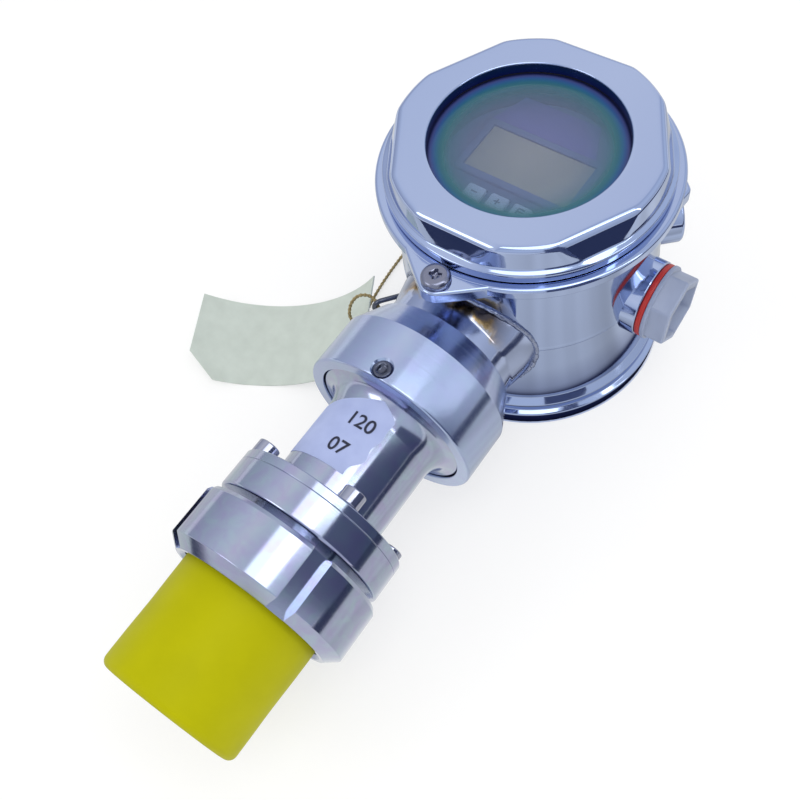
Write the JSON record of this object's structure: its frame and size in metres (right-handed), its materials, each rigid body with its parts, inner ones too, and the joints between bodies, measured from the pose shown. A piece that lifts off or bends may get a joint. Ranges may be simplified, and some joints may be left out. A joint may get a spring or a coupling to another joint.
{
  "type": "digital pressure sensor",
  "caption": "Hygienic stainless-steel pressure sensor: faceted screw lid over a display, swivel neck, slotted union nut, blanked cable entry, cap and hanging tag.",
  "frame": {"origin": "centre of the housing's flat back, which is the face the object lies on", "axes": "+Z out of the display window, -Y out of the process connection, +X out of the cable entry"},
  "size_m": [0.1693, 0.2393, 0.095],
  "materials": {
    "polished_steel": "mirror-polished stainless steel",
    "turned_steel": "satin turned stainless steel",
    "screw_steel": "bright",
    "window_glass": "flat, polished",
    "seal_rubber": "matt",
    "red_gasket": "matt",
    "plug_plastic": "fine matt",
    "cap_plastic": "soft, matt",
    "vent_plastic": "matt",
    "carrier_plastic": "fine matt",
    "key_plastic": "matt",
    "lcd": "gloss",
    "circuit_board": "solder mask",
    "potting": "cast resin",
    "terminal_plastic": "matt",
    "terminal_brass": "plain",
    "cell_ceramic": "matt",
    "tag_paper": "matt",
    "twine_jute": "twisted"
  },
  "bodies": {
    "root": {"housing_shell": "polished_steel", "lid_seal": "seal_rubber", "lug_screw": "screw_steel", "vent_filter": "vent_plastic", "collar_ring": "turned_steel", "collar_set_screw": "screw_steel", "electronics_insert": "potting", "terminal_block": "terminal_plastic", "terminal_screws": "terminal_brass", "display_board": "circuit_board", "display_frame": "carrier_plastic", "lcd_panel": "lcd", "tag_eye": "polished_steel", "paper_tag": "tag_paper", "twine": "twine_jute"},
    "window": {"window_glass": "window_glass", "window_gasket": "seal_rubber", "window_clamp_ring": "turned_steel"},
    "lid": {"lid_shell": "polished_steel"},
    "plug_seat": {"plug_gasket": "red_gasket"},
    "plug": {"cable_plug": "plug_plastic"},
    "neck": {"neck_body": "turned_steel", "shank_seal": "seal_rubber", "neck_snap_ring": "turned_steel", "flange_bolts": "screw_steel", "flange_seal": "seal_rubber", "process_adapter": "turned_steel", "diaphragm": "turned_steel", "sensor_module": "potting", "measuring_cell": "cell_ceramic"},
    "nut": {"union_nut": "turned_steel"},
    "cap": {"protective_cap": "cap_plastic"},
    "key_left": {"key_minus": "key_plastic"},
    "key_middle": {"key_plus": "key_plastic"},
    "key_right": {"key_enter": "key_plastic"}
  },
  "joints": [
    {"name": "lid_lift", "type": "slide", "parent": "root", "child": "window", "axis": [0, 0, 1], "range_m": [0, 0.0081]},
    {"name": "lid_turn", "type": "hinge", "parent": "window", "child": "lid", "pos_m": [0, 0, 0.083], "axis": [0, 0, 1], "range_deg": [0, 1440]},
    {"name": "plug_lift", "type": "slide", "parent": "root", "child": "plug_seat", "axis": [1, 0, 0], "range_m": [0, 0.0091]},
    {"name": "plug_turn", "type": "hinge", "parent": "plug_seat", "child": "plug", "pos_m": [0.0472, 0, 0.0447], "axis": [1, 0, 0], "range_deg": [0, 2160]},
    {"name": "housing_swivel", "type": "hinge", "parent": "root", "child": "neck", "pos_m": [0, -0.0694, 0.0426], "axis": [0, -1, 0], "range_deg": [-190, 190]},
    {"name": "nut_spin", "type": "hinge", "parent": "neck", "child": "nut", "pos_m": [0, -0.1436, 0.0426], "axis": [0, -1, 0], "continuous": true},
    {"name": "cap_pull", "type": "slide", "parent": "neck", "child": "cap", "axis": [0, -1, 0], "range_m": [0, 0.06]},
    {"name": "press_left", "type": "slide", "parent": "root", "child": "key_left", "axis": [0, 0, -1], "range_m": [0, 0.0005], "stiffness_N_per_m": 600},
    {"name": "press_middle", "type": "slide", "parent": "root", "child": "key_middle", "axis": [0, 0, -1], "range_m": [0, 0.0005], "stiffness_N_per_m": 600},
    {"name": "press_right", "type": "slide", "parent": "root", "child": "key_right", "axis": [0, 0, -1], "range_m": [0, 0.0005], "stiffness_N_per_m": 600}
  ],
  "couplings": [
    {"joint": "lid_lift", "follows": "lid_turn", "m_per_rad": 0.00031831},
    {"joint": "plug_lift", "follows": "plug_turn", "m_per_rad": 0.00023873}
  ]
}
